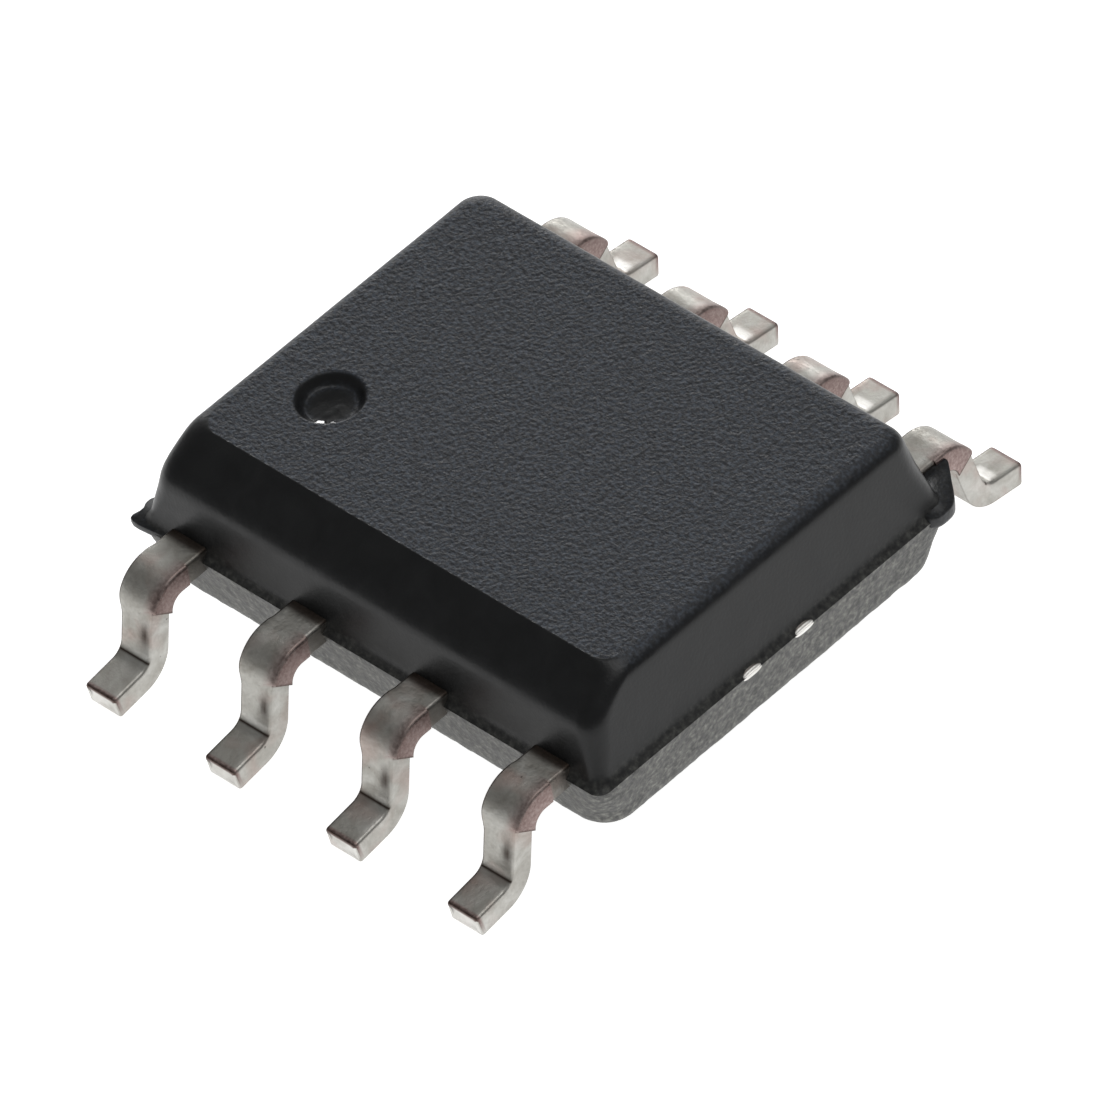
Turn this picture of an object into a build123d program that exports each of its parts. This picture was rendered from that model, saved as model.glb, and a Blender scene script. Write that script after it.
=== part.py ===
from build123d import *
import math
import os

# Eight-lead small-outline operational amplifier package, millimetres.
# X runs along the row of leads, from the lead 1 end to the lead 4 end.
# Y runs across the package, from the row of leads 1 to 4 to the row 5 to 8.
# Z is up, and Z = 0 is the plane the feet stand on.

# Driving dimensions of the outline
LEAD_PITCH = 1.27
LEADS_PER_ROW = 4
FOOT_SPAN = 6.0
BODY_LENGTH = 4.9
BODY_WIDTH = 3.9
BODY_BOTTOM = 0.225
BODY_TOP = 1.64
STRIP_THICKNESS = 0.20

# Lead frame level: the strip is clamped between the two mould halves
STRIP_TOP = 0.945
STRIP_BOTTOM = STRIP_TOP - STRIP_THICKNESS
PARTING_LEVEL = (STRIP_TOP + STRIP_BOTTOM) / 2

# Moulded body: the upper half stands back from the lower one by a narrow ledge
UPPER_DRAFT = 10.0
LOWER_DRAFT = 12.0
PARTING_LEDGE = 0.05
CORNER_RADIUS = 0.19
TOP_EDGE_RADIUS = 0.15
BOTTOM_EDGE_RADIUS = 0.18
BEVEL_TOP_Y = -1.41
BEVEL_ANGLE = 34.0
DIMPLE_X = -1.53
DIMPLE_Y = -0.60
DIMPLE_RADIUS = 0.295
DIMPLE_DEPTH = 0.08

# Gull-wing leads
SHOULDER_WIDTH = 0.40
FOOT_WIDTH = 0.325
LEG_LEAN = 12.0
INNER_BEND_RADIUS = 0.13
FOOT_LENGTH = 0.29
TRIM_START = 2.11
TRIM_NECK = 0.012
STEP_DROP = 0.27
INNER_LAND_WIDTH = 0.52
INNER_LEAD_END = 1.02

# Die paddle, die and bond wires
PADDLE_LENGTH = 2.50
PADDLE_WIDTH = 1.50
TIE_BAR_WIDTH = 0.18
TIE_BAR_OFFSET = 0.285
ATTACH_THICKNESS = 0.02
ATTACH_MARGIN = 0.05
DIE_LENGTH = 1.36
DIE_WIDTH = 1.06
DIE_THICKNESS = 0.28
BOND_PAD_INSET = 0.10
WIRE_RADIUS = 0.015
WIRE_RISE = 0.14
WIRE_DROP = 0.10
WIRE_BEND_RADIUS = 0.05
BALL_RADIUS = 0.038
BALL_HEIGHT = 0.022

# Mould flash left at two opposite corners of the parting line
FLASH_THICKNESS = 0.06
GATE_THICKNESS = 0.11

half_length = BODY_LENGTH / 2
half_width = BODY_WIDTH / 2
half_span = FOOT_SPAN / 2
lean = math.radians(LEG_LEAN)
turn = math.radians(90 - LEG_LEAN)

# Corners of the bent strip's upper face before rounding: shoulder meets leg, leg meets foot
heel_top_y = half_span - FOOT_LENGTH - INNER_BEND_RADIUS * math.tan(turn / 2)
knee_top_y = heel_top_y - (STRIP_TOP - STRIP_THICKNESS) * math.tan(lean)
# The lower face's corners stand back by this much, to keep the strip one thickness
shift = STRIP_THICKNESS * math.tan(turn / 2)

die_base = STRIP_TOP + ATTACH_THICKNESS
die_top = die_base + DIE_THICKNESS


def rounded_rectangle(inset, level):
    """Outline of the body at one level, inset from the parting line."""
    outline = RectangleRounded(BODY_LENGTH - 2 * inset, BODY_WIDTH - 2 * inset, CORNER_RADIUS)
    return Pos(0, 0, level) * outline


def mould_half(level, ledge, draft, edge_radius):
    """One drafted half of the body, from the parting line to a flat face."""
    height = abs(level - PARTING_LEVEL)
    inset = height * math.tan(math.radians(draft))
    wide = rounded_rectangle(ledge, PARTING_LEVEL)
    narrow = rounded_rectangle(ledge + inset, level)
    half = loft([wide, narrow], ruled=True)
    rim = half.edges().filter_by_position(Axis.Z, level - 0.001, level + 0.001)
    return fillet(rim, edge_radius)


def bevel_cutter():
    """Wedge that takes the sloping face off the edge above leads 1 to 4."""
    reach = 1.0
    slope = math.tan(math.radians(BEVEL_ANGLE))
    profile = Polyline(
        (BEVEL_TOP_Y, BODY_TOP),
        (BEVEL_TOP_Y - reach, BODY_TOP - reach * slope),
        (BEVEL_TOP_Y - reach, BODY_TOP + reach),
        (BEVEL_TOP_Y + reach, BODY_TOP + reach),
        (BEVEL_TOP_Y + reach, BODY_TOP + 0.1 * reach),
        close=True,
    )
    face = make_face(Plane.YZ * profile)
    return extrude(face, amount=BODY_LENGTH, both=True)


def dimple_cutter():
    """Ball that presses the lead 1 dimple into the top face."""
    ball_radius = (DIMPLE_RADIUS ** 2 + DIMPLE_DEPTH ** 2) / (2 * DIMPLE_DEPTH)
    centre_level = BODY_TOP - DIMPLE_DEPTH + ball_radius
    return Pos(DIMPLE_X, DIMPLE_Y, centre_level) * Sphere(ball_radius)


def parting_plate(points, thickness):
    """Thin irregular plate of moulding compound lying on the parting line."""
    face = make_face(Polyline(*points, close=True))
    return Pos(0, 0, PARTING_LEVEL - thickness / 2) * extrude(face, amount=thickness)


def corner_flash():
    """Flash at the lead 1 corner and gate stub at the lead 5 corner."""
    root_x = half_length - 0.35
    root_y = half_width - 0.30
    flash = parting_plate(
        [
            (-root_x, -root_y),
            (-half_length, -root_y),
            (-half_length - 0.05, -root_y - 0.04),
            (-half_length - 0.055, -root_y - 0.11),
            (-half_length - 0.02, -root_y - 0.17),
            (-half_length - 0.05, -half_width + 0.01),
            (-half_length + 0.02, -half_width - 0.02),
            (-half_length + 0.22, -half_width),
            (-root_x, -half_width + 0.02),
        ],
        FLASH_THICKNESS,
    )
    gate = parting_plate(
        [
            (root_x - 0.05, root_y),
            (root_x - 0.05, half_width + 0.12),
            (root_x - 0.065, half_width + 0.24),
            (root_x - 0.02, half_width + 0.30),
            (root_x + 0.01, half_width + 0.25),
            (root_x + 0.03, half_width + 0.18),
            (root_x + 0.10, half_width + 0.10),
            (root_x + 0.19, half_width + 0.11),
            (half_length - 0.07, half_width + 0.03),
            (half_length + 0.02, half_width - 0.09),
            (half_length + 0.05, half_width - 0.20),
            (half_length, root_y),
        ],
        GATE_THICKNESS,
    )
    return [flash, gate]


def lead_section():
    """Side view of the strip outside the body: shoulder, leg and foot, for a row on +Y."""
    outer_radius = INNER_BEND_RADIUS + STRIP_THICKNESS
    outline = Polyline(
        (0, STRIP_TOP),
        (knee_top_y, STRIP_TOP),
        (heel_top_y, STRIP_THICKNESS),
        (half_span, STRIP_THICKNESS),
        (half_span, 0),
        (heel_top_y - shift, 0),
        (knee_top_y - shift, STRIP_BOTTOM),
        (0, STRIP_BOTTOM),
        close=True,
    )
    face = make_face(outline)
    corners = face.vertices()
    outer_knee = corners.sort_by_distance((knee_top_y, STRIP_TOP, 0))[0]
    inner_heel = corners.sort_by_distance((heel_top_y - shift, 0, 0))[0]
    face = fillet([outer_knee, inner_heel], outer_radius)
    corners = face.vertices()
    inner_knee = corners.sort_by_distance((knee_top_y - shift, STRIP_BOTTOM, 0))[0]
    outer_heel = corners.sort_by_distance((heel_top_y, STRIP_THICKNESS, 0))[0]
    return fillet([inner_knee, outer_heel], INNER_BEND_RADIUS)


def section_solid(width):
    """Bent strip of one width, seen from the end of the row."""
    return extrude(Plane.YZ * lead_section(), amount=width / 2, both=True)


def formed_lead():
    """Strip outside the body, wide at the trimmed shoulder and narrow at leg and foot."""
    foot = section_solid(FOOT_WIDTH)
    shoulder = section_solid(SHOULDER_WIDTH)
    neck = section_solid(SHOULDER_WIDTH - 2 * TRIM_NECK)
    reach = 1.0
    step = Plane(
        origin=(0, knee_top_y + STEP_DROP * math.tan(lean), STRIP_TOP - STEP_DROP),
        x_dir=(1, 0, 0),
        z_dir=(0, math.sin(lean), -math.cos(lean)),
    )
    below = step * Pos(0, 0, reach) * Box(2 * reach, 4 * reach, 2 * reach)
    inside = Box(reach, 2 * TRIM_START, 4 * reach)
    stub = shoulder - below - inside
    return foot + (neck - below) + stub


def inner_lead(column, corner):
    """Flat inner lead inside the body, in the plane of the strip, for a row on +Y."""
    side = math.copysign(1, column)
    wall = half_width - 0.25
    neck = SHOULDER_WIDTH / 2 - TRIM_NECK
    land = INNER_LAND_WIDTH / 2
    if corner:
        inner_x = PADDLE_LENGTH / 2 + 0.18
        outer_x = half_length - 0.30
        points = [
            (column - side * neck, half_width),
            (column - side * neck, wall),
            (side * inner_x, wall - 0.12),
            (side * inner_x, PADDLE_WIDTH / 2 - 0.20),
            (side * outer_x, PADDLE_WIDTH / 2 - 0.20),
            (side * outer_x, wall - 0.05),
            (column + side * neck, wall),
            (column + side * neck, half_width),
        ]
    else:
        points = [
            (column - neck, half_width),
            (column - neck, wall),
            (column - land, wall - 0.12),
            (column - land, INNER_LEAD_END),
            (column + land, INNER_LEAD_END),
            (column + land, wall - 0.12),
            (column + neck, wall),
            (column + neck, half_width),
        ]
    face = make_face(Polyline(*points, close=True))
    return Pos(0, 0, STRIP_BOTTOM) * extrude(face, amount=STRIP_THICKNESS)


def lead(number):
    """Whole lead, from the bond land inside the body to the foot outside it."""
    column, row = lead_place(number)
    corner = abs(column) > LEAD_PITCH
    wall_to_wall = Box(BODY_LENGTH, BODY_WIDTH, FOOT_SPAN)
    outside = Pos(column * row, 0, 0) * (formed_lead() - wall_to_wall)
    whole = outside + inner_lead(column * row, corner)
    if row < 0:
        whole = Rot(0, 0, 180) * whole
    return whole


def lead_place(number):
    """Column along X and row side of one lead, counted round the package."""
    first = -LEAD_PITCH * (LEADS_PER_ROW - 1) / 2
    if number <= LEADS_PER_ROW:
        return first + LEAD_PITCH * (number - 1), -1
    return -first - LEAD_PITCH * (number - 1 - LEADS_PER_ROW), 1


def die_paddle():
    """Paddle that carries the die, held by two tie bars at each end."""
    paddle = Rectangle(PADDLE_LENGTH, PADDLE_WIDTH)
    for side in (-1, 1):
        bar = Rectangle(BODY_LENGTH, TIE_BAR_WIDTH)
        paddle = paddle + Pos(0, side * TIE_BAR_OFFSET) * bar
    return Pos(0, 0, STRIP_BOTTOM) * extrude(paddle, amount=STRIP_THICKNESS)


def slab(length, width, thickness, base):
    """Flat block centred on the package, standing on one level."""
    middle = base + thickness / 2
    return Pos(0, 0, middle) * Box(length, width, thickness)


def bond_places(number):
    """Pad on the die and land on the lead, for one bond wire."""
    column, row = lead_place(number)
    corner = abs(column) > LEAD_PITCH
    side = math.copysign(1, column)
    pad_y = row * (DIE_WIDTH / 2 - BOND_PAD_INSET)
    if corner:
        pad_x = side * (DIE_LENGTH / 2 - BOND_PAD_INSET)
        land_x = side * (PADDLE_LENGTH / 2 + 0.18 + 0.5 * INNER_LAND_WIDTH)
        land_y = row * (PADDLE_WIDTH / 2 + 0.02)
    else:
        pad_x = side * (DIE_LENGTH / 4 - BOND_PAD_INSET)
        land_x = column
        land_y = row * (INNER_LEAD_END + 0.16)
    return (pad_x, pad_y), (land_x, land_y)


def bond_wire(number):
    """Gold wire from a ball on the die to the land of its lead."""
    pad, land = bond_places(number)
    path = FilletPolyline(
        (pad[0], pad[1], die_top),
        (pad[0], pad[1], die_top + WIRE_RISE),
        (land[0], land[1], STRIP_TOP + WIRE_DROP),
        (land[0], land[1], STRIP_TOP),
        radius=WIRE_BEND_RADIUS,
    )
    section = Plane(origin=path @ 0, z_dir=path % 0) * Circle(WIRE_RADIUS)
    wire = sweep(section, path=path)
    ball = Pos(pad[0], pad[1], die_top + BALL_HEIGHT / 2) * Cylinder(BALL_RADIUS, BALL_HEIGHT)
    return wire + ball


def mold_body(embedded):
    """Epoxy body moulded round the lead frame, the die and the wires."""
    upper = mould_half(BODY_TOP, PARTING_LEDGE, UPPER_DRAFT, TOP_EDGE_RADIUS)
    lower = mould_half(BODY_BOTTOM, 0, LOWER_DRAFT, BOTTOM_EDGE_RADIUS)
    body = upper + lower
    for plate in corner_flash():
        body = body + plate
    body = body - bevel_cutter() - dimple_cutter()
    for piece in embedded:
        body = body - piece
    return body


pieces = {}
for number in range(1, 2 * LEADS_PER_ROW + 1):
    pieces[f"lead_{number}"] = lead(number)
pieces["die_paddle"] = die_paddle()
pieces["die_attach"] = slab(
    DIE_LENGTH + 2 * ATTACH_MARGIN,
    DIE_WIDTH + 2 * ATTACH_MARGIN,
    ATTACH_THICKNESS,
    STRIP_TOP,
)
pieces["die"] = slab(DIE_LENGTH, DIE_WIDTH, DIE_THICKNESS, die_base)
for number in range(1, 2 * LEADS_PER_ROW + 1):
    pieces[f"bond_wire_{number}"] = bond_wire(number)
pieces["mold_body"] = mold_body(list(pieces.values()))

os.makedirs("parts", exist_ok=True)
for name, solid in pieces.items():
    export_step(solid, f"parts/{name}.step")
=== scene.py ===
import math

import bmesh
import bpy
from mathutils import Matrix, Vector, noise


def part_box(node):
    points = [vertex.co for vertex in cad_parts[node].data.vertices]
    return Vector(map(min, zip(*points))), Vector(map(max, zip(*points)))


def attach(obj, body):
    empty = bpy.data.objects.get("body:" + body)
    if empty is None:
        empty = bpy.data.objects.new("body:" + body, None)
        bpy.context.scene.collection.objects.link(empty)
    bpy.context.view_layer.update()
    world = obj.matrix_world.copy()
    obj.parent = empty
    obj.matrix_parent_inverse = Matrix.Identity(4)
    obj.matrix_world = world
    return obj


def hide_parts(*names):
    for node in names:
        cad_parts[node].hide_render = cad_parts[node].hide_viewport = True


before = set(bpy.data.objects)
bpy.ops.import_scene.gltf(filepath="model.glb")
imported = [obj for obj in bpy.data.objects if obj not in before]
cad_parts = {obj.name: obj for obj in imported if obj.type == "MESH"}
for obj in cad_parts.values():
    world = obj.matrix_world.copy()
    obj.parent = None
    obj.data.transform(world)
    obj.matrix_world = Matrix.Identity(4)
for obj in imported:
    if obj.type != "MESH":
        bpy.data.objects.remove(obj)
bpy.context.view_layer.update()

MM = 0.001
CRISP_ANGLE = math.radians(38)

# Levels and outline, from the frame
paddle_low, paddle_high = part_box("die_paddle")
body_low, body_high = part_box("mold_body")
lead_low, lead_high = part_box("lead_6")
STRIP_TOP = paddle_high.z
STRIP_BOTTOM = paddle_low.z
STRIP = STRIP_TOP - STRIP_BOTTOM
PARTING = (STRIP_TOP + STRIP_BOTTOM) / 2
HALF_LENGTH = paddle_high.x
HALF_WIDTH = 1.95 * MM
BODY_TOP = body_high.z
BODY_BOTTOM = body_low.z
HALF_SPAN = lead_high.y

# Moulded body
LEDGE = 0.05 * MM
COVE = 0.13 * MM
UPPER_DRAFT = math.radians(10)
LOWER_DRAFT = math.radians(12)
PLAN_CORNER = 0.19 * MM
PARTING_CORNER = 0.11 * MM
FLOOR_CORNER = 0.27 * MM
TOP_EDGE = 0.15 * MM
BOTTOM_EDGE = 0.18 * MM
BEVEL_TOP_Y = -1.41 * MM
BEVEL_ANGLE = math.radians(34)
BEVEL_BREAK = 0.03 * MM
BEVEL_BLEND = 0.12 * MM
DIMPLE_X = -1.53 * MM
DIMPLE_Y = -0.60 * MM
DIMPLE_RADIUS = 0.295 * MM
DIMPLE_DEPTH = 0.085 * MM
DIMPLE_WALL = 0.10 * MM
DIMPLE_LAP = 0.006 * MM
DIMPLE_FLOOR = 0.195 * MM
FLASH = 0.06 * MM
GATE = 0.11 * MM
# Share of the lower half's pale grey, partly painted reflection, at the foot of the cove
LEDGE_LOWER_GREY = 0.30

# Worn facet on the dimple's lip: where it lies, how it leans, how far in from the lip it starts,
# and its patches as (turn from the facet's middle, half turn, depth in mm)
RUBBED_TURN = math.radians(303)
RUBBED_LEAN = math.radians(15)
RUBBED_RIM = 0.016 * MM
RUBBED_FADE = 0.008 * MM
RUBBED_PATCHES = ((-0.10, 0.22, 0.050), (0.26, 0.13, 0.036))

# Pitches of the waves, pits, nicks and ripples that the mould leaves
WAVE_PITCH = 0.13 * MM
PIT_PITCH = 0.055 * MM
WALL_WAVE_PITCH = 0.30 * MM
NICK_PITCH = 0.09 * MM
RIPPLE_PITCH = 0.07 * MM

# Mesh of the body: points along its long and short sides, steps round an eighth of a plan corner,
# round the top and bottom edges, up the two walls and up the cove, and round and into the dimple
LONG_COUNT = 262
SHORT_COUNT = 184
ARC_STEPS = 12
TOP_EDGE_STEPS = 12
TOP_WALL_STEPS = 13
BOTTOM_EDGE_STEPS = 6
BOTTOM_WALL_STEPS = 12
COVE_STEPS = 5
DIMPLE_AROUND = 144
DIMPLE_STEPS = 34

# Grain that the spark-eroded mould face leaves on the top
GRAIN_PITCH = 0.040 * MM
GRAIN_DEPTH = 0.006 * MM
GRAIN_FROM_TURN = 0.35
GRAIN_FULL_TURN = 1.25

# Leads
PITCH = 1.27 * MM
SHOULDER = 0.40 * MM
NECK = 0.376 * MM
FOOT = 0.325 * MM
LEAN = math.radians(12.3)
ROOT_Y = 1.88 * MM
KNEE_Y = 2.19 * MM
KNEE_BEND = 0.13 * MM
HEEL_BEND = 0.14 * MM
FOOT_TILT = math.radians(8)
TOE_TOP = 0.1975 * MM
TRIM_START = 2.11 * MM
STEP_DROP = 0.27 * MM
LAND = 0.52 * MM
LAND_INNER_END = 1.02 * MM
LAND_OUTER_END = 1.55 * MM
ROLLED_EDGE = 0.028 * MM
SHEARED_EDGE = 0.010 * MM
TRIM_EASE = 0.03 * MM
STEP_EASE = 0.09 * MM
SHEAR_SLANT = 0.08 * MM
SHEAR_REACH = 0.19 * MM
SHEAR_WIDTH = 0.15 * MM

# Toe: (distance back from its end, shrink) in mm of the rings round its edge
TOE_ROLL = ((0.024, 0.0), (0.014, 0.002), (0.006, 0.006), (0.001, 0.013), (0.0, 0.02), (0.0, 0.04))

# Dark marks on a lead: painted shade in the heel crease and on a spot above it, painted shade of
# the body over the root (partly a brown bleed of epoxy), and the toe line
CREASE_TURN = math.radians(50)
CREASE_HALF = 0.022 * MM
SHADE_SPOT_LEVEL = 0.49 * MM
SHADE_SPOT_SIDE = 0.095 * MM
SHADE_SPOT_HALF_LENGTH = 0.085 * MM
SHADE_SPOT_HALF_WIDTH = 0.045 * MM
BLEED_AND_SHADE_START = 0.045 * MM
BLEED_AND_SHADE_END = 0.145 * MM
BLEED_AND_SHADE_BOW = 0.15
TOE_LINE = 0.026 * MM

# Mesh of a lead: places of the level rings in mm, steps round its bends, along its straight
# lengths, round one corner of its section and across its upper face
NECK_STOPS = (1.70, 1.85, 1.88, 1.91, 1.94, 1.97, 2.00, 2.04, 2.08)
SHOULDER_END = 2.14 * MM
KNEE_STEPS = 28
LEG_STEPS = 14
HEEL_STEPS = 24
FOOT_STEPS = 12
CORNER_STEPS = 5
ACROSS_STEPS = 9
UPPER_FACE = 4

# Die paddle
PAD_HALF_LENGTH = 1.25 * MM
PAD_HALF_WIDTH = 0.75 * MM
PAD_CORNER = 0.06 * MM

# Tie bars: (x, half width, half height) in mm out to the sheared end, the ring where the shear
# starts, the level they lie at, their distance from the middle, and the points round them
TIE_BAR_SWEEP = (
    (1.20, 0.088, 0.070),
    (2.34, 0.088, 0.070),
    (2.425, 0.104, 0.038),
    (2.436, 0.103, 0.036),
    (2.443, 0.099, 0.032),
    (2.447, 0.090, 0.026),
    (2.449, 0.074, 0.017),
)
TIE_BAR_SHEAR = TIE_BAR_SWEEP[2]
TIE_BAR_LEVEL = PARTING - 0.008 * MM
TIE_BAR_SIDE = 0.285 * MM
TIE_BAR_POINTS = 36


def new_object(name, bm, material):
    """Turns a finished bmesh into a smooth-shaded piece, its corners kept crisp."""
    for face in bm.faces:
        face.smooth = True
    for edge in bm.edges:
        if len(edge.link_faces) == 2 and edge.calc_face_angle(0.0) > CRISP_ANGLE:
            edge.smooth = False
    mesh = bpy.data.meshes.new(name)
    bm.to_mesh(mesh)
    bm.free()
    piece = bpy.data.objects.new(name, mesh)
    bpy.context.scene.collection.objects.link(piece)
    mesh.materials.append(material)
    return piece


def skin(bm, loops, inside_out=False):
    """Quads between closed loops that follow one another."""
    for low, high in zip(loops, loops[1:]):
        for k in range(len(low)):
            n = (k + 1) % len(low)
            if inside_out:
                bm.faces.new((low[k], high[k], high[n], low[n]))
            else:
                bm.faces.new((low[k], low[n], high[n], high[k]))


# ---------------------------------------------------------------- materials


def linear(hex_colour):
    """sRGB hex text as a linear colour."""
    channels = [int(hex_colour[i:i + 2], 16) / 255 for i in (1, 3, 5)]
    return [c / 12.92 if c <= 0.04045 else ((c + 0.055) / 1.055) ** 2.4 for c in channels] + [1.0]


def start_material(name):
    """Empty node material, its node tree, and its surface shader."""
    material = bpy.data.materials.new(name)
    material.use_nodes = True
    tree = material.node_tree
    tree.nodes.clear()
    output = tree.nodes.new("ShaderNodeOutputMaterial")
    shader = tree.nodes.new("ShaderNodeBsdfPrincipled")
    tree.links.new(shader.outputs[0], output.inputs["Surface"])
    return material, tree, shader


def add(tree, kind, settings=None, links=None):
    """Adds one node: settings are attributes or input values, links are input to socket."""
    node = tree.nodes.new(kind)
    for key, value in (settings or {}).items():
        if key in node.inputs:
            node.inputs[key].default_value = value
        else:
            setattr(node, key, value)
    for key, socket in (links or {}).items():
        tree.links.new(socket, node.inputs[key])
    return node


def ramp(tree, factor, stops):
    """Colour ramp from (position, colour) stops."""
    node = add(tree, "ShaderNodeValToRGB", links={"Fac": factor})
    elements = node.color_ramp.elements
    while len(elements) < len(stops):
        elements.new(0.5)
    for element, (position, colour) in zip(elements, stops):
        element.position = position
        element.color = colour
    return node.outputs["Color"]


def grey(value):
    """Neutral colour of one linear value."""
    return (value, value, value, 1.0)


def speckle(tree, place, pitch, detail=2.0, rough=0.5, warp=0.0):
    """Noise whose blotches are about one pitch across, in metres."""
    node = add(
        tree,
        "ShaderNodeTexNoise",
        {"Scale": 1.0 / pitch, "Detail": detail, "Roughness": rough, "Distortion": warp},
        {"Vector": place},
    )
    return node.outputs["Fac"]


def object_place(tree):
    """Position on the piece, in metres."""
    return add(tree, "ShaderNodeTexCoord").outputs["Object"]


def blend(tree, share, low, high, kind="MIX"):
    """Mixes two colours by a share."""
    node = add(tree, "ShaderNodeMix", {"data_type": "RGBA", "blend_type": kind})
    for key, value in (("Factor", share), ("A", low), ("B", high)):
        if isinstance(value, bpy.types.NodeSocket):
            tree.links.new(value, node.inputs[key])
        else:
            node.inputs[key].default_value = value
    return node.outputs["Result"]


def relief(tree, height, strength, depth, below=None):
    """Bump of a height pattern, its strength a number or a socket, laid over another bump."""
    settings, links = {"Distance": depth}, {"Height": height}
    if isinstance(strength, bpy.types.NodeSocket):
        links["Strength"] = strength
    else:
        settings["Strength"] = strength
    if below:
        links["Normal"] = below
    return add(tree, "ShaderNodeBump", settings, links).outputs["Normal"]


def vertex_shares(tree, name):
    """Red, green and blue of a per-vertex share painted on the mesh."""
    paint = add(tree, "ShaderNodeAttribute", {"attribute_name": name})
    split = add(tree, "ShaderNodeSeparateColor", links={"Color": paint.outputs["Color"]})
    return split.outputs["Red"], split.outputs["Green"], split.outputs["Blue"]


def moulded_epoxy():
    """Silica-filled epoxy: pebbled slate grey top, near black satin walls, mottled pale grey lower
    half.

    The lower half's pale grey is partly painted reflection. The worn facet of the dimple is
    smoother, so it glints.
    """
    material, tree, shader = start_material("moulded_epoxy")
    place = object_place(tree)
    grained, lower, rubbed = vertex_shares(tree, "finish")
    blotch = speckle(tree, place, 0.9 * MM)
    pebble = speckle(tree, place, 0.031 * MM, 1.0, 0.4)
    fine = speckle(tree, place, 0.027 * MM, 1.0, 0.4)
    flow = speckle(tree, place, 0.22 * MM, 3.0, 0.5, 0.6)
    mottle = speckle(tree, place, 0.048 * MM, 3.0, 0.6)
    top = ramp(
        tree,
        pebble,
        [(0.32, linear("#1f2125")), (0.50, linear("#2b2f36")), (0.70, linear("#454b54"))],
    )
    wall = ramp(tree, flow, [(0.25, linear("#0f1011")), (0.75, linear("#161718"))])
    # Pale mottled grey of the lower half: real mottle, its lightness partly painted reflection of
    # the lit table
    lower_grey_and_reflection = ramp(
        tree,
        mottle,
        [
            (0.30, linear("#282827")),
            (0.44, linear("#474745")),
            (0.56, linear("#62625e")),
            (0.74, linear("#8c8c86")),
        ],
    )
    colour = blend(tree, grained, wall, top)
    colour = blend(tree, lower, colour, lower_grey_and_reflection)
    tone = ramp(tree, blotch, [(0.3, grey(0.92)), (0.7, grey(1.0))])
    colour = blend(tree, 1.0, colour, tone, "MULTIPLY")
    tree.links.new(colour, shader.inputs["Base Color"])
    satin = ramp(tree, flow, [(0.3, grey(0.30)), (0.75, grey(0.42))])
    frosted = ramp(tree, pebble, [(0.3, grey(0.50)), (0.7, grey(0.62))])
    chalky = ramp(tree, mottle, [(0.3, grey(0.42)), (0.7, grey(0.58))])
    gloss = blend(tree, lower, blend(tree, grained, satin, frosted), chalky)
    gloss = blend(tree, rubbed, gloss, grey(0.16))
    tree.links.new(gloss, shader.inputs["Roughness"])
    swell = relief(tree, flow, 0.30, 0.008 * MM)
    pores = relief(tree, mottle, lower, 0.005 * MM, swell)
    # Grit: faint on the walls, strong on the grained top
    rough = add(tree, "ShaderNodeMath", {"operation": "MULTIPLY_ADD"}, {0: grained})
    rough.inputs[1].default_value = 0.85
    rough.inputs[2].default_value = 0.12
    grit = relief(tree, fine, rough.outputs[0], 0.009 * MM, pores)
    tree.links.new(grit, shader.inputs["Normal"])
    shader.inputs["IOR"].default_value = 1.5
    shader.inputs["Specular IOR Level"].default_value = 0.34
    return material


def matte_tin_plate():
    """Matte tin on copper alloy: warm grey, mottled, with pinkish blushes and a few tiny dark pits.

    Pinkish metal shows where it was trimmed; brown lies along edges and bends, much of it painted
    shade.
    """
    material, tree, shader = start_material("matte_tin_plate")
    place = object_place(tree)
    cut, brown_and_painted_shade, bright_tin_and_highlight = vertex_shares(tree, "finish")
    stain = speckle(tree, place, 0.24 * MM, 3.0, 0.55, 0.8)
    blush = speckle(tree, place, 0.33 * MM, 2.0, 0.5, 0.3)
    crystal = speckle(tree, place, 0.028 * MM, 2.0, 0.6)
    plate = ramp(
        tree,
        stain,
        [(0.28, linear("#96938c")), (0.5, linear("#a8a6a0")), (0.72, linear("#bab9b4"))],
    )
    pink = ramp(tree, blush, [(0.49, grey(0.0)), (0.70, grey(0.55))])
    plate = blend(tree, pink, plate, linear("#a28a82"))
    sheared = ramp(
        tree,
        crystal,
        [(0.3, linear("#7e6b67")), (0.50, linear("#95827e")), (0.70, linear("#ab9b97"))],
    )
    # Near white: painted highlight and reflection on the leads, and the bright sheared metal of the
    # tie bars
    bright = ramp(tree, stain, [(0.3, linear("#dcdad5")), (0.7, linear("#f6f5f2"))])
    colour = blend(tree, bright_tin_and_highlight, plate, bright)
    colour = blend(tree, cut, colour, sheared)
    # Brown share: much of it painted shade in the heel crease, near the body and round the tie bars'
    # ends
    colour = blend(tree, brown_and_painted_shade, colour, linear("#33271f"))
    pits = ramp(tree, speckle(tree, place, 0.060 * MM, 0.0), [(0.84, grey(0.0)), (0.88, grey(0.6))])
    colour = blend(tree, pits, colour, linear("#2b2623"))
    tree.links.new(colour, shader.inputs["Base Color"])
    shader.inputs["Metallic"].default_value = 1.0
    gloss = ramp(tree, crystal, [(0.3, grey(0.40)), (0.7, grey(0.56))])
    tree.links.new(gloss, shader.inputs["Roughness"])
    swell = relief(tree, stain, 0.28, 0.008 * MM)
    tree.links.new(relief(tree, crystal, 0.6, 0.003 * MM, swell), shader.inputs["Normal"])
    return material


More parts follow.
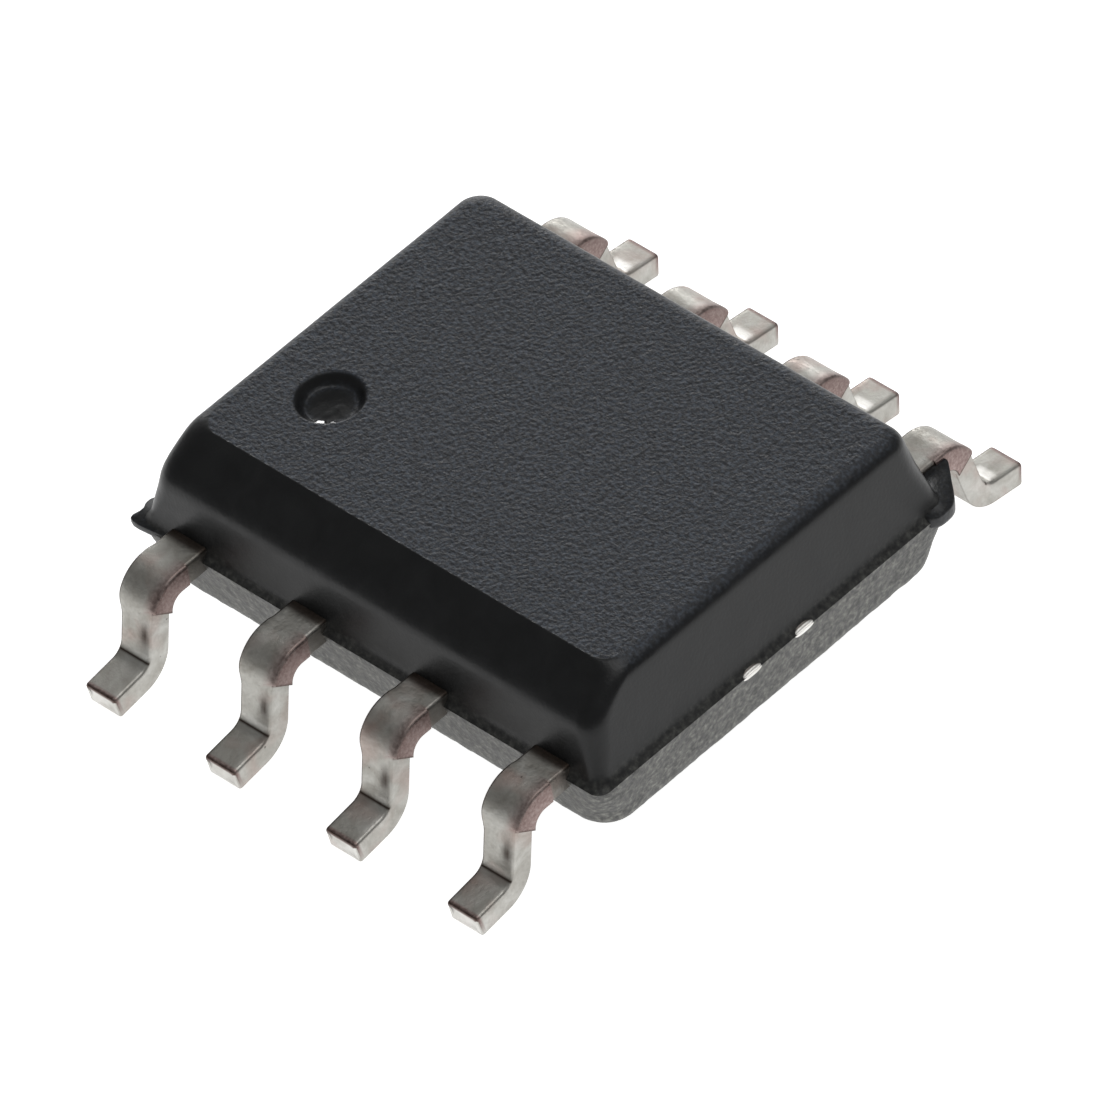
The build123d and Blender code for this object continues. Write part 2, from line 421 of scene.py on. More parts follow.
def hidden_finish(name, low, high, pitch, roughness, metallic):
    """Finish of a piece sealed inside the body: two tones of one colour and a fine relief."""
    material, tree, shader = start_material(name)
    place = object_place(tree)
    tone = speckle(tree, place, pitch, 2.0, 0.5)
    colour = ramp(tree, tone, [(0.3, linear(low)), (0.7, linear(high))])
    tree.links.new(colour, shader.inputs["Base Color"])
    gloss = ramp(tree, tone, [(0.3, grey(roughness)), (0.7, grey(roughness + 0.12))])
    tree.links.new(gloss, shader.inputs["Roughness"])
    shader.inputs["Metallic"].default_value = metallic
    tree.links.new(relief(tree, tone, 0.3, 0.001 * MM), shader.inputs["Normal"])
    return material


# --------------------------------------------------------------------- body


def edge_levels(height, draft, radius, steps, wall_steps):
    """(rise, inset) up a drafted wall and round its rolled edge to the flat face."""
    run = radius * math.tan((math.pi / 2 - draft) / 2)
    wall = height - run * math.cos(draft)
    rises = [wall * k / wall_steps for k in range(wall_steps + 1)]
    levels = [(rise, rise * math.tan(draft)) for rise in rises]
    centre = wall * math.tan(draft) + radius * math.cos(draft)
    for k in range(1, steps + 1):
        turn = draft + (math.pi / 2 - draft) * k / steps
        levels.append((height - radius + radius * math.sin(turn), centre - radius * math.cos(turn)))
    return levels


def bevel_y(z):
    """Y of the bevel at one level, eased into the top face."""
    sharp = BEVEL_TOP_Y - (BODY_TOP - z) / math.tan(BEVEL_ANGLE)
    centre_z = BODY_TOP - BEVEL_BREAK
    centre_y = BEVEL_TOP_Y + BEVEL_BREAK * math.tan(BEVEL_ANGLE / 2)
    if z > centre_z + BEVEL_BREAK * math.cos(BEVEL_ANGLE):
        turn = math.acos(min(1.0, (z - centre_z) / BEVEL_BREAK))
        return centre_y - BEVEL_BREAK * math.sin(turn)
    return sharp


def smooth_max(a, b, width):
    """Larger of two values, with the corner between them eased over a width."""
    gap = max(width - abs(a - b), 0.0) / width
    return max(a, b) + gap * gap * width / 4


def half_arc(centre, radius, start):
    """Points along an eighth of a turn of a plan corner."""
    points = []
    for k in range(ARC_STEPS + 1):
        turn = start + math.pi / 4 * k / ARC_STEPS
        points.append((centre[0] + radius * math.cos(turn), centre[1] + radius * math.sin(turn)))
    return points


def outline(z, inset, near_y, corner):
    """One closed ring round the body, counted from the middle of its near left corner."""
    x = HALF_LENGTH - inset - corner
    far_y = HALF_WIDTH - inset - corner
    low_y = near_y + corner
    centres = ((-x, low_y), (x, low_y), (x, far_y), (-x, far_y))
    ring = []
    for side in range(4):
        turn = math.radians(225 + 90 * side)
        points = half_arc(centres[side], corner, turn)
        points += half_arc(centres[(side + 1) % 4], corner, turn + math.pi / 4)
        ring += spread(points, SHORT_COUNT if side % 2 else LONG_COUNT)
    return [Vector((px, py, z)) for px, py in ring]


def ease(value, start, end):
    """Smooth 0 to 1 between two places."""
    t = min(max((value - start) / (end - start), 0.0), 1.0)
    return t * t * (3 - 2 * t)


def pushed_in(ring, lift, depth):
    """A ring with every point sunk below its surface, which leans back by an angle."""
    moved = []
    for k, point in enumerate(ring):
        along = ring[(k + 1) % len(ring)] - ring[k - 1]
        outward = Vector((along.y, -along.x, 0.0)).normalized() * math.cos(lift)
        outward.z = math.sin(lift)
        moved.append(point - outward * depth(point))
    return moved


def spread(points, count):
    """Even points along a line, its last point left out."""
    lengths = [0.0]
    for a, b in zip(points, points[1:]):
        lengths.append(lengths[-1] + math.hypot(b[0] - a[0], b[1] - a[1]))
    result = []
    leg = 0
    for k in range(count):
        target = lengths[-1] * k / count
        while leg < len(points) - 2 and lengths[leg + 1] < target:
            leg += 1
        span = lengths[leg + 1] - lengths[leg]
        t = (target - lengths[leg]) / span if span else 0.0
        a, b = points[leg], points[leg + 1]
        result.append((a[0] + (b[0] - a[0]) * t, a[1] + (b[1] - a[1]) * t))
    return result


def lower_relief(point):
    """Depth of the pitted, wavy face of the lower half."""
    wave = noise.noise(point / WAVE_PITCH)
    pit = noise.noise(point / PIT_PITCH + Vector((3.1, 8.2, 0.4)))
    return (0.005 + 0.005 * wave + 0.004 * pit) * MM


def wall_relief(point):
    """Depth of the faint waves on the smooth walls."""
    return (0.0015 + 0.0015 * noise.noise(point / WALL_WAVE_PITCH)) * MM


def parting_relief(point):
    """Depth of the nicks along the parting edge."""
    return max(0.0, 0.006 + 0.016 * noise.noise(point / NICK_PITCH)) * MM


def body_rings():
    """Rings from the bottom face up to the top's rim, with their shares of grain and of lower grey.
    """
    rings = []
    lower = edge_levels(
        PARTING - BODY_BOTTOM, LOWER_DRAFT, BOTTOM_EDGE, BOTTOM_EDGE_STEPS, BOTTOM_WALL_STEPS
    )
    for index in range(len(lower) - 1, -1, -1):
        rise, inset = lower[index]
        corner = PLAN_CORNER + (FLOOR_CORNER - PLAN_CORNER) * ease(rise, 0.1 * MM, 0.45 * MM)
        ring = outline(PARTING - rise, inset, -HALF_WIDTH + inset, corner)
        sink = lower_relief if index else parting_relief
        rings.append((pushed_in(ring, 0.0, sink), 0.0, 1.0))
    upper = edge_levels(BODY_TOP - PARTING, UPPER_DRAFT, TOP_EDGE, TOP_EDGE_STEPS, TOP_WALL_STEPS)
    cove = [COVE * k / COVE_STEPS for k in range(COVE_STEPS)]
    rises = cove + [rise for rise, inset in upper if rise > COVE - 0.02 * MM]
    rim_index = len(rises) - 1
    for index, rise in enumerate(rises):
        z = PARTING + rise
        step = LEDGE * (1 - max(0.0, 1 - rise / COVE) ** 3)
        inset = inset_at(upper, rise) + step
        side_y = -HALF_WIDTH + inset
        near_y = smooth_max(side_y, bevel_y(z), BEVEL_BLEND)
        corner = PARTING_CORNER + (PLAN_CORNER - PARTING_CORNER) * ease(rise, 0.0, 0.45 * MM)
        ring = outline(z, inset, near_y, corner)
        turn = max(0.0, index - (rim_index - TOP_EDGE_STEPS)) / TOP_EDGE_STEPS * math.pi / 2
        share = ease(turn, GRAIN_FROM_TURN, GRAIN_FULL_TURN)

        def sink(point, share=share, near_y=near_y, rim=(index == rim_index)):
            clear = 1.0 if rim else bevel_clearance(point, near_y)
            return wall_relief(point) * (1 - share) + grain_sink(point) * share * clear

        # The lower half's pale grey, partly painted reflection, reaches up the foot of the cove
        lower_grey = LEDGE_LOWER_GREY * (1 - ease(rise, 0.0, COVE))
        rings.append((pushed_in(ring, turn, sink) if index else ring, share, lower_grey))
    return rings


def inset_at(levels, rise):
    """Inset of a drafted wall at one height, between its levels."""
    for (low, low_inset), (high, high_inset) in zip(levels, levels[1:]):
        if low <= rise <= high:
            return low_inset + (high_inset - low_inset) * (rise - low) / (high - low)
    return levels[-1][1]


def bevel_clearance(point, near_y):
    """0 on the bevel, rising to 1 away from it."""
    return ease(point.y - near_y, 0.03 * MM, 0.25 * MM)


def grain_sink(point):
    """How far the grain lies below the true face at a point."""
    return GRAIN_DEPTH * (1.0 - grain_height(point))


def grain_height(point):
    """Relief of the spark-eroded grain, from 0 at its deepest to 1."""
    place = point / GRAIN_PITCH
    coarse = noise.noise(place)
    fine = noise.noise(place * 1.7 + Vector((7.3, 1.9, 5.1)))
    return min(max(0.5 + 0.75 * coarse + 0.35 * fine, 0.0), 1.0)


def top_face_point(flat):
    """Grained point of the top face, drawn onto the dimple's rim where it is close to it."""
    dx = flat.x - DIMPLE_X
    dy = flat.y - DIMPLE_Y
    reach = math.hypot(dx, dy)
    if abs(reach - DIMPLE_RADIUS) < 0.011 * MM:
        scale = DIMPLE_RADIUS / reach
        return Vector((DIMPLE_X + dx * scale, DIMPLE_Y + dy * scale, BODY_TOP - 0.001 * MM))
    fade = min(max((reach - DIMPLE_RADIUS) / (0.04 * MM), 0.0), 1.0)
    return Vector((flat.x, flat.y, BODY_TOP - grain_sink(flat) * fade))


def rubbed_share(turn, reach):
    """Share of the small worn facet on the dimple's near lip, two patches side by side."""
    share = 0.0
    for offset, half_turn, depth in RUBBED_PATCHES:
        across = 1 - ease(abs(turn - RUBBED_TURN - offset), half_turn * 0.6, half_turn)
        inner = DIMPLE_RADIUS - RUBBED_RIM - depth * MM
        along = ease(reach, inner, inner + 0.006 * MM)
        along *= 1 - ease(reach, DIMPLE_RADIUS - RUBBED_RIM, DIMPLE_RADIUS - RUBBED_FADE)
        share = max(share, across * along)
    return share


def add_dimple(bm, finish):
    """Flat-floored round dimple with a softly rolled lip, worn shiny at one place."""
    loops = []
    for k in range(DIMPLE_STEPS + 1):
        # The rings crowd together at the lip
        reach = (DIMPLE_RADIUS + DIMPLE_LAP) * (1 - 0.93 * (k / DIMPLE_STEPS) ** 1.5)
        into = min(max((DIMPLE_RADIUS - reach) / DIMPLE_WALL, 0.0), 1.0)
        drop = DIMPLE_DEPTH * into * into * (3 - 2 * into)
        loop = []
        for n in range(DIMPLE_AROUND):
            turn = 2 * math.pi * n / DIMPLE_AROUND
            x = DIMPLE_X + reach * math.cos(turn)
            y = DIMPLE_Y + reach * math.sin(turn)
            ripple = noise.noise(Vector((x, y, 0.0)) / RIPPLE_PITCH) * 0.0040 * MM
            z = BODY_TOP - 0.002 * MM - drop - max(ripple, -0.001 * MM)
            rubbed = rubbed_share(turn, reach)
            inward = DIMPLE_RADIUS - 0.012 * MM - reach
            flat = BODY_TOP - 0.004 * MM - inward * math.tan(RUBBED_LEAN)
            vert = bm.verts.new((x, y, z + (flat - z) * rubbed))
            # Grained at the lip and, more faintly, where the wall meets the floor
            grained = ease(reach, DIMPLE_RADIUS - 0.03 * MM, DIMPLE_RADIUS) * (1 - rubbed)
            grained = max(grained, 0.45 * math.exp(-((reach - DIMPLE_FLOOR) / (0.03 * MM)) ** 2))
            vert[finish] = (grained, 0.0, rubbed, 1.0)
            loop.append(vert)
        loops.append(loop)
    skin(bm, loops)
    bm.faces.new(loops[-1])


def rounded(points, passes):
    """Closed outline with its corners cut back a few times."""
    for _ in range(passes):
        cut = []
        for a, b in zip(points, points[1:] + points[:1]):
            for t in (0.22, 0.78):
                cut.append((a[0] + (b[0] - a[0]) * t, a[1] + (b[1] - a[1]) * t))
        points = cut
    return points


def parting_plate(bm, points, thickness, finish):
    """Thin ragged plate of epoxy that squeezed out at the parting line."""
    layers = []
    middle = Vector((sum(p[0] for p in points), sum(p[1] for p in points))) / len(points)
    for share, pull in ((-0.5, 0.985), (-0.3, 1.0), (0.3, 1.0), (0.5, 0.985)):
        ring = []
        for px, py in points:
            x = middle.x + (px - middle.x) * pull
            y = middle.y + (py - middle.y) * pull
            vert = bm.verts.new((x, y, PARTING + thickness * share))
            vert[finish] = (0.25, 0.1, 0.0, 1.0)
            ring.append(vert)
        layers.append(ring)
    bm.faces.new(list(reversed(layers[0])))
    bm.faces.new(layers[-1])
    skin(bm, layers)


def make_body(material):
    """Epoxy body: walls from rings, a grained top face with its dimple, flash and gate stub."""
    bm = bmesh.new()
    finish = bm.verts.layers.float_color.new("finish")
    loops = []
    for ring, grained, lower in body_rings():
        near_y = min(point.y for point in ring)
        loop = []
        for point in ring:
            vert = bm.verts.new(point)
            vert[finish] = (grained * bevel_clearance(point, near_y), lower, 0.0, 1.0)
            loop.append(vert)
        loops.append(loop)
    skin(bm, loops)
    bm.faces.new(list(reversed(loops[0])))
    for vert in loops[-1]:
        vert[finish] = (1.0, 0.0, 0.0, 1.0)
    grid = top_grid(bm, loops[-1], finish)
    for i in range(LONG_COUNT):
        for j in range(SHORT_COUNT):
            square = (grid[i][j], grid[i + 1][j], grid[i + 1][j + 1], grid[i][j + 1])
            if not all(inside_dimple(vert.co) for vert in square):
                bm.faces.new(square)
    loose = [v for v in bm.verts if not v.link_faces]
    bmesh.ops.delete(bm, geom=loose, context="VERTS")
    add_dimple(bm, finish)
    add_flash(bm, finish)
    return new_object("epoxy_body", bm, material)


def inside_dimple(point):
    """Whether a point of the top face lies within the dimple's rim, or on it."""
    return math.hypot(point.x - DIMPLE_X, point.y - DIMPLE_Y) < DIMPLE_RADIUS + 0.1e-6


def top_grid(bm, rim, finish):
    """Grid of vertices over the top face that meets the rim all round."""
    near = [rim[i] for i in range(LONG_COUNT + 1)]
    right = [rim[LONG_COUNT + j] for j in range(SHORT_COUNT + 1)]
    far = [rim[LONG_COUNT * 2 + SHORT_COUNT - i] for i in range(LONG_COUNT + 1)]
    left = [rim[(-j) % len(rim)] for j in range(SHORT_COUNT + 1)]
    corners = near[0].co, near[-1].co, far[0].co, far[-1].co
    grid = []
    for i in range(LONG_COUNT + 1):
        u = i / LONG_COUNT
        column = []
        for j in range(SHORT_COUNT + 1):
            v = j / SHORT_COUNT
            if j == 0:
                column.append(near[i])
            elif j == SHORT_COUNT:
                column.append(far[i])
            elif i == 0:
                column.append(left[j])
            elif i == LONG_COUNT:
                column.append(right[j])
            else:
                flat = near[i].co * (1 - v) + far[i].co * v
                flat += left[j].co * (1 - u) + right[j].co * u
                flat -= corners[0] * (1 - u) * (1 - v) + corners[1] * u * (1 - v)
                flat -= corners[2] * (1 - u) * v + corners[3] * u * v
                flat.z = BODY_TOP
                vert = bm.verts.new(top_face_point(flat))
                vert[finish] = (1.0, 0.0, 0.0, 1.0)
                column.append(vert)
        grid.append(column)
    return grid


def add_flash(bm, finish):
    """Flash at the lead 1 corner and the gate stub at the lead 5 corner."""
    x, y = HALF_LENGTH, HALF_WIDTH
    root_x, root_y = x - 0.35 * MM, y - 0.30 * MM
    flash = [
        (-root_x, -root_y),
        (-x, -root_y),
        (-x - 0.05 * MM, -root_y - 0.04 * MM),
        (-x - 0.053 * MM, -root_y - 0.11 * MM),
        (-x - 0.02 * MM, -root_y - 0.17 * MM),
        (-x - 0.048 * MM, -y + 0.01 * MM),
        (-x + 0.02 * MM, -y - 0.018 * MM),
        (-x + 0.22 * MM, -y),
        (-root_x, -y + 0.02 * MM),
    ]
    gate = [
        (root_x - 0.05 * MM, root_y),
        (x, root_y),
        (x + 0.052 * MM, y - 0.22 * MM),
        (x + 0.045 * MM, y - 0.06 * MM),
        (x - 0.05 * MM, y + 0.04 * MM),
        (root_x + 0.20 * MM, y + 0.12 * MM),
        (root_x + 0.12 * MM, y + 0.19 * MM),
        (root_x + 0.01 * MM, y + 0.28 * MM),
        (root_x - 0.08 * MM, y + 0.20 * MM),
    ]
    parting_plate(bm, rounded(flash, 1), FLASH, finish)
    parting_plate(bm, rounded(gate, 3), GATE, finish)


# -------------------------------------------------------------------- leads


def leaning(turn):
    """Direction (out, up) square to the strip where it has turned down by an angle."""
    return Vector((math.sin(turn), math.cos(turn)))


def strip_path():
    """(out, up, turn) along the middle of the strip, from its inner land to the toe."""
    knee_turn = math.pi / 2 - LEAN
    knee = Vector((KNEE_Y, STRIP_TOP - STRIP - KNEE_BEND))
    leg_side, foot_side = leaning(knee_turn), leaning(FOOT_TILT)
    toe = Vector((HALF_SPAN + 0.001 * MM, TOE_TOP))
    # The heel bend lies one radius off the leg's face and one off the foot's
    off_leg = knee.dot(leg_side) + KNEE_BEND + STRIP + HEEL_BEND
    off_foot = toe.dot(foot_side) + HEEL_BEND
    square = leg_side.x * foot_side.y - leg_side.y * foot_side.x
    heel = Vector(
        (
            (off_leg * foot_side.y - off_foot * leg_side.y) / square,
            (leg_side.x * off_foot - foot_side.x * off_leg) / square,
        )
    )
    level = STRIP_TOP - STRIP / 2
    flats = [LAND_INNER_END, LAND_OUTER_END] + [y * MM for y in NECK_STOPS]
    flats += [TRIM_START, SHOULDER_END]
    path = [(y, level, 0.0) for y in flats]
    for k in range(KNEE_STEPS + 1):
        turn = knee_turn * k / KNEE_STEPS
        path.append((*(knee + leaning(turn) * (KNEE_BEND + STRIP / 2)), turn))
    top, low = Vector(path[-1][:2]), heel - leg_side * (HEEL_BEND + STRIP / 2)
    for k in range(1, LEG_STEPS):
        path.append((*(top + (low - top) * k / LEG_STEPS), knee_turn))
    for k in range(HEEL_STEPS + 1):
        turn = knee_turn + (FOOT_TILT - knee_turn) * k / HEEL_STEPS
        path.append((*(heel - leaning(turn) * (HEEL_BEND + STRIP / 2)), turn))
    start, end = Vector(path[-1][:2]), toe - foot_side * STRIP / 2
    for k in range(1, FOOT_STEPS + 1):
        path.append((*(start + (end - start) * k / FOOT_STEPS), FOOT_TILT))
    return path


def strip_section(left, right, shrink=0.0):
    """Section of the stamped strip, with rolled edges above and sheared ones below.

    Each point is (across, through, corner, step), and its corner is UPPER_FACE between the edges.
    """
    half = STRIP / 2 - shrink
    corners = (
        (right - shrink, -half, SHEARED_EDGE, -math.pi / 2),
        (right - shrink, half, ROLLED_EDGE, 0.0),
        (-left + shrink, half, ROLLED_EDGE, math.pi / 2),
        (-left + shrink, -half, SHEARED_EDGE, math.pi),
    )
    points = []
    for number, (x, n, radius, start) in enumerate(corners):
        cx = x - math.copysign(radius, x)
        cn = n - math.copysign(radius, n)
        for k in range(CORNER_STEPS + 1):
            turn = start + math.pi / 2 * k / CORNER_STEPS
            points.append((cx + radius * math.cos(turn), cn + radius * math.sin(turn), number, k))
        if number == 1:
            to_x = -left + shrink + ROLLED_EDGE
            for k in range(1, ACROSS_STEPS):
                points.append((cx + (to_x - cx) * k / ACROSS_STEPS, half, UPPER_FACE, k))
    return points


def lead_rings(path, lengths, trim_at, step_at):
    """(length along, place, left half, right half, shrink) of every ring of a lead."""
    total = lengths[-1]
    rings = []
    for s, place in zip(lengths, path):
        if place[0] <= LAND_OUTER_END:
            rings.append((s, place, LAND / 2, LAND / 2, 0.0))
            if place[0] == LAND_OUTER_END:
                rings.append((s, place, NECK / 2, NECK / 2, 0.0))
            continue
        # The left side widens and narrows softly, the right side is cut square
        soft = NECK / 2 + (SHOULDER - NECK) / 2 * ease(s, trim_at - TRIM_EASE, trim_at + TRIM_EASE)
        soft -= (SHOULDER - FOOT) / 2 * ease(s, step_at - STEP_EASE, step_at + STEP_EASE)
        if s < trim_at:
            rings.append((s, place, soft, NECK / 2, 0.0))
        elif s == trim_at:
            rings += [(s, place, soft, NECK / 2, 0.0), (s, place, soft, SHOULDER / 2, 0.0)]
        elif s < step_at:
            rings.append((s, place, soft, SHOULDER / 2, 0.0))
        elif s == step_at:
            rings += [(s, place, soft, SHOULDER / 2, 0.0), (s, place, soft, FOOT / 2, 0.0)]
        else:
            rings.append((s, place, soft, FOOT / 2, 0.0))
    rings.pop()
    end = Vector(path[-1][:2])
    along = Vector((math.cos(FOOT_TILT), -math.sin(FOOT_TILT)))
    for back, shrink in TOE_ROLL:
        place = (*(end - along * back * MM), FOOT_TILT)
        rings.append((total - back * MM, place, FOOT / 2, FOOT / 2, shrink * MM))
    return rings


def lead_finish(s, across, through, corner, k, row, ring, marks):
    """Shares of trimmed copper, brown (much of it painted shade) and painted highlight at one point
    of a lead.
    """
    root_at, trim_at, step_at, crease_at, shade_spot_at, total = marks
    left, right, shrink = ring
    side = abs(across) > (right if across > 0 else left) - shrink - 0.004 * MM
    above = through > STRIP / 2 - shrink - 0.012 * MM
    cut = 1.0 if side and trim_at <= s <= step_at else 0.0
    brown_and_painted_shade = 0.0
    if above:
        # Painted shade in the crease at the heel
        brown_and_painted_shade = math.exp(-((s - crease_at) / CREASE_HALF) ** 2)
        # Painted shade: a dark spot in the hollow of the leg's front, near its right edge
        spot = ((s - shade_spot_at) / SHADE_SPOT_HALF_LENGTH) ** 2
        spot += ((across - SHADE_SPOT_SIDE) / SHADE_SPOT_HALF_WIDTH) ** 2
        # Darker root: painted shade of the body over the lead, partly a brownish bleed of epoxy
        bleed_and_shade = 0.92 * (1 - ease(s - root_at, BLEED_AND_SHADE_START, BLEED_AND_SHADE_END - BLEED_AND_SHADE_BOW * abs(across)))
        brown_and_painted_shade = max(brown_and_painted_shade, 0.95 * math.exp(-spot), bleed_and_shade)
        if trim_at <= s <= step_at:
            cut = 0.8 * ease(across, 0.04 * MM, right - 0.01 * MM)
    # Brown along the upper left edge, and along the lower right one down to the step
    if corner in (0, 2) and 1 <= k < CORNER_STEPS:
        brown_and_painted_shade = max(brown_and_painted_shade, 0.7 if corner == 2 or s < step_at else 0.25)
    if side and across > 0 and abs(s - step_at) < 0.001 * MM:
        brown_and_painted_shade = 0.75
    if s < trim_at and side:
        brown_and_painted_shade = max(brown_and_painted_shade, 0.55)
    # Painted shade along the upper right edge up to the step, dimming its highlight
    if corner == 1 and s < step_at:
        brown_and_painted_shade = max(brown_and_painted_shade, 0.28)
    toe = max(0.0, 1.0 - abs(s - total + 0.006 * MM) / TOE_LINE)
    if toe and through > STRIP / 2 - 0.032 * MM:
        brown_and_painted_shade = max(brown_and_painted_shade, 0.8 * toe)
        cut = 1.0
    # Painted reflection: the side faces past the step a little lighter
    bright_tin_and_highlight = 0.1 if side and s > step_at else 0.0
    # Painted highlight on the far row's feet just past the heel
    if above and row > 0:
        bright_tin_and_highlight = ease(s, crease_at + 0.10 * MM, crease_at + 0.14 * MM)
        bright_tin_and_highlight *= 1 - ease(s, crease_at + 0.20 * MM, crease_at + 0.26 * MM)
        bright_tin_and_highlight *= 1 - ease(abs(across - 0.03 * MM), 0.06 * MM, 0.11 * MM)
    # Painted reflection on the toe's end face
    if total - s < 0.002 * MM:
        bright_tin_and_highlight = 0.5
    return (cut, brown_and_painted_shade, bright_tin_and_highlight, 1.0)


def make_lead(name, number, material):
    """One gull-wing lead, from its inner land to the toe."""
    column, row = lead_place(number)
    path = strip_path()
    lengths = [0.0]
    for a, b in zip(path, path[1:]):
        lengths.append(lengths[-1] + math.hypot(b[0] - a[0], b[1] - a[1]))
    step_at = next(s for s, p in zip(lengths, path) if p[1] < STRIP_TOP - STEP_DROP - 0.02 * MM)
    trim_at = next(s for s, p in zip(lengths, path) if p[0] >= TRIM_START)
    root_at = next(s for s, p in zip(lengths, path) if p[0] >= ROOT_Y)
    knee_end = lengths.index(trim_at) + 2 + KNEE_STEPS
    crease_at = next(
        s for s, p in zip(lengths[knee_end:], path[knee_end:]) if p[2] < CREASE_TURN
    )
    shade_spot_at = next(s for s, p in zip(lengths, path) if p[1] < SHADE_SPOT_LEVEL)
    marks = (root_at, trim_at, step_at, crease_at, shade_spot_at, lengths[-1])
    bm = bmesh.new()
    finish = bm.verts.layers.float_color.new("finish")
    loops = []
    for s, (y, z, turn), *ring in lead_rings(path, lengths, trim_at, step_at):
        loop = []
        for across, through, corner, k in strip_section(*ring):
            slant = SHEAR_SLANT * max(0.0, 1 - abs(s - step_at) / SHEAR_REACH)
            slant *= (through / STRIP + 0.5) * ease(across, 0.0, SHEAR_WIDTH)
            out = y + through * math.sin(turn) - slant * math.cos(turn)
            level = z + through * math.cos(turn) + slant * math.sin(turn)
            vert = bm.verts.new((column + across, out * row, level))
            vert[finish] = lead_finish(s, across, through, corner, k, row, ring, marks)
            loop.append(vert)
        loops.append(loop)
    skin(bm, loops, inside_out=True)
    bm.faces.new(loops[0])
    bm.faces.new(list(reversed(loops[-1])))
    bmesh.ops.recalc_face_normals(bm, faces=bm.faces)
    return new_object(name, bm, material)


def lead_place(number):
    """Column along X and row side of one lead, counted round the package."""
    first = -1.5 * PITCH
    if number <= 4:
        return first + PITCH * (number - 1), -1
    return -first - PITCH * (number - 5), 1


def round_corner(value):
    """Pushes a circle's coordinate outwards, so that the section is an oval with fuller corners."""
    return math.copysign(abs(value) ** 0.8, value)


def make_paddle(material):
    """Die paddle with its tie bars, their ends sheared off flush with the body."""
    bm = bmesh.new()
    finish = bm.verts.layers.float_color.new("finish")
    for side in (-1, 1):
        for y in (-TIE_BAR_SIDE, TIE_BAR_SIDE):
            loops = []
            for stop in TIE_BAR_SWEEP:
                x, half_width, half_height = stop
                # Painted shade on the ring where the shear starts, where the bar leaves the body
                ring_shade = 0.9 if stop == TIE_BAR_SHEAR else 0.0
                loop = []
                for k in range(TIE_BAR_POINTS):
                    turn = 2 * math.pi * k / TIE_BAR_POINTS
                    across = half_width * round_corner(math.cos(turn)) * MM
                    level = TIE_BAR_LEVEL + half_height * round_corner(math.sin(turn)) * MM
                    vert = bm.verts.new((x * MM * side, y + across, level))
                    vert[finish] = (0.0, ring_shade, 1.0, 1.0)
                    loop.append(vert)
                loops.append(loop)
            skin(bm, loops, inside_out=True)
            bm.faces.new(loops[0])
            bm.faces.new(list(reversed(loops[-1])))
    loops = []
    for level, pull in ((-0.5, 0.01), (-0.45, 0.0), (0.45, 0.0), (0.5, 0.01)):
        x, y = PAD_HALF_LENGTH - pull * MM, PAD_HALF_WIDTH - pull * MM
        ring = [(x - PAD_CORNER, -y), (x, -y + PAD_CORNER), (x, y - PAD_CORNER), (x - PAD_CORNER, y)]
        ring += [(-px, -py) for px, py in ring]
        loops.append([bm.verts.new((px, py, PARTING + STRIP * level)) for px, py in ring])
    skin(bm, loops)
    bm.faces.new(list(reversed(loops[0])))
    bm.faces.new(loops[-1])
    bmesh.ops.recalc_face_normals(bm, faces=bm.faces)
    return new_object("paddle_and_tie_bars", bm, material)


# -------------------------------------------------------------------- stage


def camera_at(azimuth, elevation, roll, distance, focal, look, across, down):
    """Camera on the object's near right side, turned a little about its own axis.

    Angles are in degrees, the focal length in mm on a 36 mm sensor, the rest in metres.
    """
    a, e, r = math.radians(azimuth), math.radians(elevation), math.radians(roll)
    back = Vector((math.sin(a) * math.cos(e), -math.cos(a) * math.cos(e), math.sin(e)))
    right = Vector((math.cos(a), math.sin(a), 0.0))
    up = back.cross(right)
    right_rolled = right * math.cos(r) + up * math.sin(r)
    up_rolled = up * math.cos(r) - right * math.sin(r)
    data = bpy.data.cameras.new("camera")
    data.lens = focal
    data.sensor_width = 36.0
    data.clip_start = 0.01
    data.clip_end = 10.0
    camera = bpy.data.objects.new("camera", data)
    bpy.context.scene.collection.objects.link(camera)
    place = look + back * distance + right_rolled * across - up_rolled * down
    turn = Matrix((right_rolled, up_rolled, back)).transposed()
    camera.matrix_world = Matrix.Translation(place) @ turn.to_4x4()
    bpy.context.scene.camera = camera


def softbox(name, place, width, height, power):
    """Plain white rectangular studio light that faces the part, in metres and watts."""
    data = bpy.data.lights.new(name, "AREA")
    data.shape = "RECTANGLE"
    data.size = width
    data.size_y = height
    data.energy = power
    light = bpy.data.objects.new(name, data)
    bpy.context.scene.collection.objects.link(light)
    facing = (-Vector(place)).to_track_quat("-Z", "Y").to_matrix().to_4x4()
    light.matrix_world = Matrix.Translation(place) @ facing


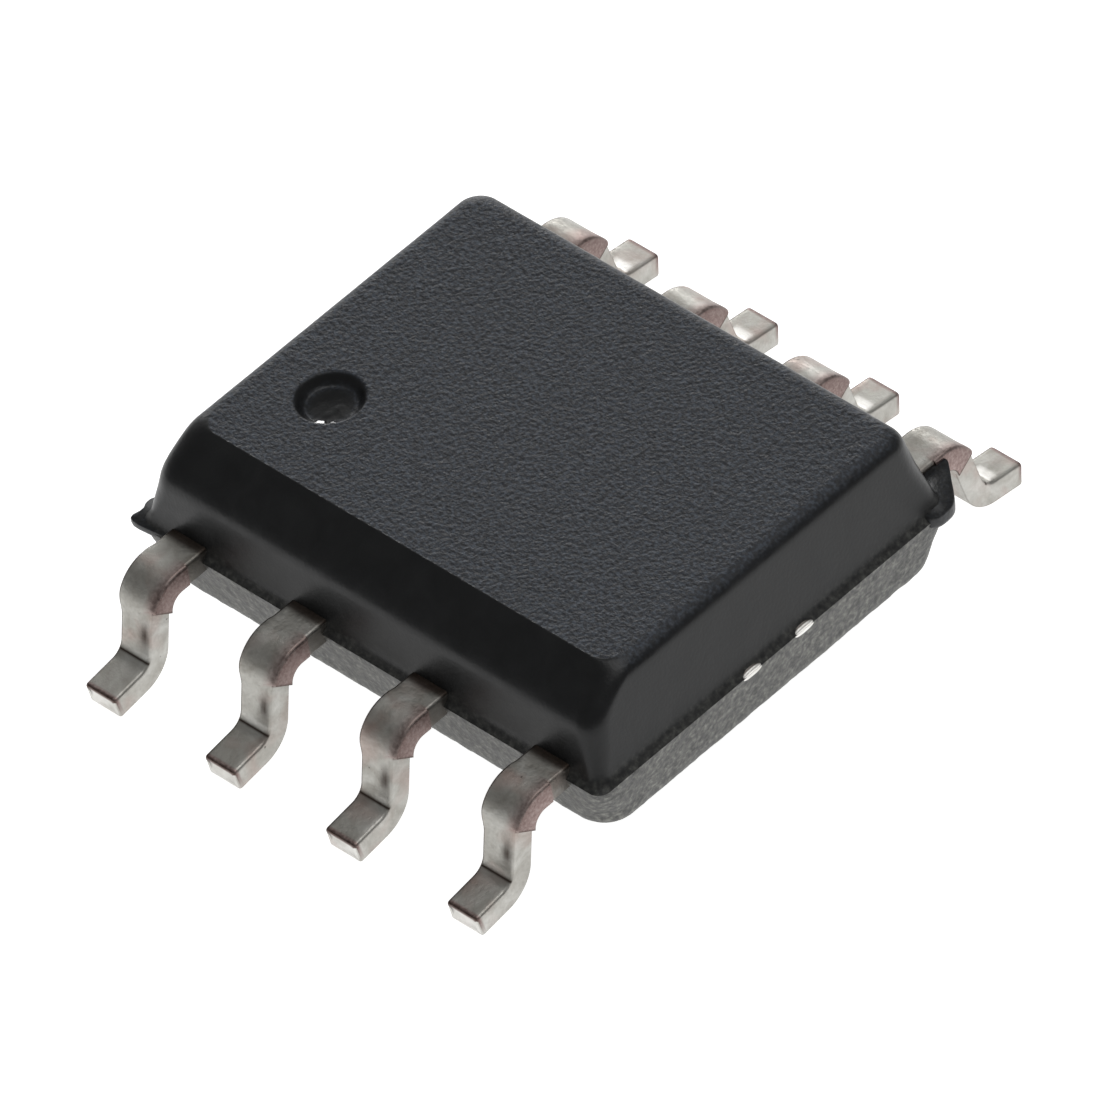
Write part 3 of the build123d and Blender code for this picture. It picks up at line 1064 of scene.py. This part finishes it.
def lit_table():
    """Opal acrylic table, lit from below, that the part stands on."""
    half = 0.6
    corners = ((-half, -half), (half, -half), (half, half), (-half, half))
    bm = bmesh.new()
    bm.faces.new([bm.verts.new((x, y, 0.0)) for x, y in corners])
    material, _, shader = start_material("opal_acrylic")
    shader.inputs["Base Color"].default_value = linear("#dcdcdc")
    shader.inputs["Roughness"].default_value = 0.6
    shader.inputs["Emission Color"].default_value = linear("#ffffff")
    shader.inputs["Emission Strength"].default_value = 0.93
    table = new_object("table", bm, material)


def studio():
    """Soft dim room, a softbox overhead, and a wide card and a small lamp low behind the part."""
    world = bpy.data.worlds.new("room")
    world.use_nodes = True
    walls = world.node_tree.nodes["Background"]
    walls.inputs["Color"].default_value = grey(1.0)
    walls.inputs["Strength"].default_value = 0.22
    bpy.context.scene.world = world
    softbox("overhead", (0.05, 0.10, 0.45), width=0.35, height=0.35, power=0.76)
    softbox("back_card", (-0.37, 0.305, 0.13), width=0.35, height=0.12, power=0.72)
    softbox("lamp", (-0.34, 0.34, 0.135), width=0.05, height=0.05, power=0.16)


bpy.context.scene.view_settings.view_transform = "Standard"

epoxy = moulded_epoxy()
tin = matte_tin_plate()
bare_copper = hidden_finish("stamped_copper_alloy", "#a9664a", "#c98a68", 0.05 * MM, 0.35, 1.0)
silver_glue = hidden_finish("silver_filled_adhesive", "#8a8a86", "#a4a49f", 0.02 * MM, 0.45, 0.6)
silicon = hidden_finish("sawn_silicon", "#3a3f4c", "#4b5262", 0.03 * MM, 0.22, 0.4)
gold = hidden_finish("drawn_gold", "#d9a441", "#e8bd62", 0.01 * MM, 0.25, 1.0)


def finish_node(node, material):
    """Gives a CAD node its finish."""
    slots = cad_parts[node].data.materials
    slots.clear()
    slots.append(material)


body = make_body(epoxy)
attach(body, "root")
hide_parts("mold_body")

paddle = make_paddle(tin)
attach(paddle, "root")
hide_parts("die_paddle")

for number in range(1, 9):
    strip = make_lead(f"gull_wing_{number}", number, tin)
    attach(strip, "root")
    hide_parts(f"lead_{number}")
    finish_node(f"lead_{number}", tin)
    finish_node(f"bond_wire_{number}", gold)
finish_node("mold_body", epoxy)
finish_node("die_paddle", bare_copper)
finish_node("die_attach", silver_glue)
finish_node("die", silicon)

lit_table()
studio()
camera_at(
    azimuth=50.59,
    elevation=44.15,
    roll=-9.85,
    distance=0.1529,
    focal=664.5,
    look=Vector((0, 0, 0.7 * MM)),
    across=0.0306 * MM,
    down=0.1814 * MM,
)
